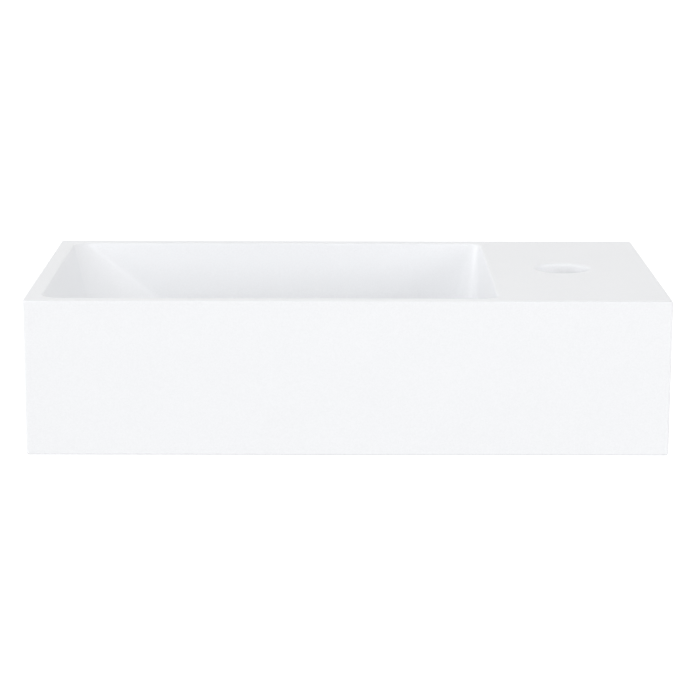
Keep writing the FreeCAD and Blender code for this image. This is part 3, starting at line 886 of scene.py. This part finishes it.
def makeNut(side):
    low, high = nodeBox("wall_nuts")
    across, top, bottom = fixing["nutAcross"], high.y, low.y
    corner = across / 2 / math.cos(math.pi / 6)
    hexagon = [(corner * math.cos(math.pi / 3 * n), corner * math.sin(math.pi / 3 * n)) for n in range(6)]
    piece = rollUp("nut", [[(x, y, bottom) for x, y in hexagon], [(x, y, top) for x, y in hexagon]])
    rise = fixing["nutChamfer"]
    face = across / 2 * fixing["nutFace"]
    cone = [(0, bottom), (face, bottom), (corner, bottom + rise), (corner, top - rise), (face, top), (0, top)]
    carve(piece, turn("cone", cone, closed=False, at=(0, 0)), "INTERSECT")
    hole = fixing["nutHole"]
    mouth = hole + rise + overrun
    bore = [
        (0, bottom - overrun), (mouth, bottom - overrun), (hole, bottom + rise),
        (hole, top - rise), (mouth, top + overrun), (0, top + overrun)]
    carve(piece, turn("bore", bore, closed=False, at=(0, 0)))
    layDown(piece, side * boltSpacing / 2)
    return piece


def makeWasher(side):
    low, high = nodeBox("wall_washers")
    inner, outer = fixing["washerHole"], fixing["washer"]
    profile = [(inner, low.y), (outer, low.y), (outer, high.y), (inner, high.y)]
    piece = turn("washer", profile, roundEdges=fixing["washerRound"], at=(0, 0))
    layDown(piece, side * boltSpacing / 2)
    return piece


def makeBush(side):
    low, high = nodeBox("wall_bushes")
    inner, outer, shoulder = fixing["bushInner"], fixing["bushOuter"], fixing["shoulder"]
    face = -casting["apron"]
    profile = [
        (inner, low.y), (shoulder, low.y), (shoulder, face),
        (outer, face), (outer, high.y), (inner, high.y)]
    piece = turn("bush", profile, roundEdges=fixing["shoulderRound"], at=(0, 0))
    layDown(piece, side * boltSpacing / 2)
    return piece


def makePair(name, node, make):
    pair = [make(-1), make(1)]
    onlySelect(pair[0])
    pair[1].select_set(True)
    bpy.ops.object.join()
    pair[0].name = name
    finishPiece(pair[0], "basin", node)


makePair("hangerBolts", "wall_bolts", makeBolt)
makePair("hexNuts", "wall_nuts", makeNut)
makePair("plainWashers", "wall_washers", makeWasher)
makePair("shoulderBushes", "wall_bushes", makeBush)
print("fixings made")

# Studio

studio = {
    "floorLevel": -850.0, "floorSize": 40000.0, "floorColour": "#f4f4f4", "floorLift": 0.8,
    "floorRoughness": 0.9, "worldStrength": 0.5,
    "lamps": {
        "front": {"at": (-300, -2600, 900), "size": 1400, "power": 21.5},
        "frontRight": {"at": (1500, -2200, 600), "size": 1200, "power": 4.0},
        "right": {"at": (2200, -1100, 900), "size": 1200, "power": 13.5},
        "left": {"at": (-2400, -300, 600), "size": 1200, "power": 23.5},
        "back": {"at": (0, 1500, 1500), "size": 1600, "power": 7.0},
    },
}


def makeFloor():
    bpy.ops.object.select_all(action="DESELECT")
    place = (0, 0, studio["floorLevel"] * mm)
    bpy.ops.mesh.primitive_plane_add(size=studio["floorSize"] * mm, location=place)
    floor = bpy.context.object
    floor.name = "floor"
    # its own light lifts it for the camera alone, and it can't be seen from below
    material, shader, _ = startMaterial("paleFloor", studio["floorRoughness"])
    shader.inputs["Base Color"].default_value = linear(studio["floorColour"])
    rays = addNode(material, "ShaderNodeLightPath")
    lift = addNode(material, "ShaderNodeEmission", {"Color": (1, 1, 1, 1), "Strength": studio["floorLift"]})
    both = addNode(material, "ShaderNodeAddShader", None, {0: shader.outputs[0], 1: lift.outputs[0]})
    seen = addNode(material, "ShaderNodeMixShader", None, {
        0: rays.outputs["Is Camera Ray"], 1: shader.outputs[0], 2: both.outputs[0]})
    under = addNode(material, "ShaderNodeNewGeometry").outputs["Backfacing"]
    hidden = addNode(material, "ShaderNodeMath", {"operation": "MULTIPLY"}, {
        0: under, 1: rays.outputs["Is Camera Ray"]})
    clear = addNode(material, "ShaderNodeBsdfTransparent")
    whole = addNode(material, "ShaderNodeMixShader", None, {
        0: hidden.outputs[0], 1: seen.outputs[0], 2: clear.outputs[0]})
    material.node_tree.links.new(whole.outputs[0], material.node_tree.nodes["Material Output"].inputs["Surface"])
    floor.data.materials.append(material)


def makeWorld():
    world = bpy.data.worlds.new("studio")
    bpy.context.scene.world = world
    world.use_nodes = True
    light = world.node_tree.nodes["Background"]
    light.inputs["Color"].default_value = (1, 1, 1, 1)
    light.inputs["Strength"].default_value = studio["worldStrength"]
    rays = addNode(world, "ShaderNodeLightPath")
    shown = addNode(world, "ShaderNodeMath", {"operation": "MAXIMUM"}, {
        0: rays.outputs["Is Camera Ray"], 1: rays.outputs["Is Transmission Ray"]})
    shown = addNode(world, "ShaderNodeMath", {"operation": "MAXIMUM"}, {
        0: shown.outputs[0], 1: rays.outputs["Is Glossy Ray"]})
    white = addNode(world, "ShaderNodeBackground", {"Color": (1, 1, 1, 1), "Strength": 1.0})
    both = addNode(world, "ShaderNodeMixShader", None, {
        0: shown.outputs[0], 1: light.outputs[0], 2: white.outputs[0]})
    world.node_tree.links.new(both.outputs[0], world.node_tree.nodes["World Output"].inputs["Surface"])


def makeLamps():
    target = Vector((0, (bodyLow.y + bodyHigh.y) / 2, (bodyLow.z + bodyHigh.z) / 2))
    for name, values in studio["lamps"].items():
        place = Vector(values["at"])
        bpy.ops.object.light_add(type="AREA", location=place * mm)
        lamp = bpy.context.object
        lamp.name = name + "Lamp"
        lamp.rotation_euler = (target - place).to_track_quat("-Z", "Y").to_euler()
        lamp.data.size = values["size"] * mm
        lamp.data.energy = values["power"]
        lamp.visible_camera = False


view = {
    "lens": 123.0, "sensor": 36.0, "farthest": 100000.0,
    "place": (-7.9, -1651.6, 341.1), "pitchDown": 12.24, "yaw": 0.32, "roll": -0.17,
}


def makeCamera():
    # the place and the turns come from a camera fitted to the photo's corners of the body
    pitch, yaw, roll = (math.radians(view[name]) for name in ("pitchDown", "yaw", "roll"))
    forward = Vector((math.sin(yaw) * math.cos(pitch), math.cos(yaw) * math.cos(pitch), -math.sin(pitch)))
    right = Vector((math.cos(yaw), -math.sin(yaw), 0))
    down = forward.cross(right)
    rolledRight = right * math.cos(roll) + down * math.sin(roll)
    rolledDown = down * math.cos(roll) - right * math.sin(roll)
    bpy.ops.object.camera_add(location=Vector(view["place"]) * mm)
    camera = bpy.context.object
    axes = Matrix((rolledRight, -rolledDown, -forward)).transposed()
    camera.rotation_euler = axes.to_euler()
    camera.data.lens = view["lens"]
    camera.data.sensor_width = view["sensor"]
    camera.data.clip_end = view["farthest"] * mm
    bpy.context.scene.camera = camera


makeFloor()
makeWorld()
makeLamps()
makeCamera()
bpy.context.scene.view_settings.view_transform = "Standard"
print("studio set")
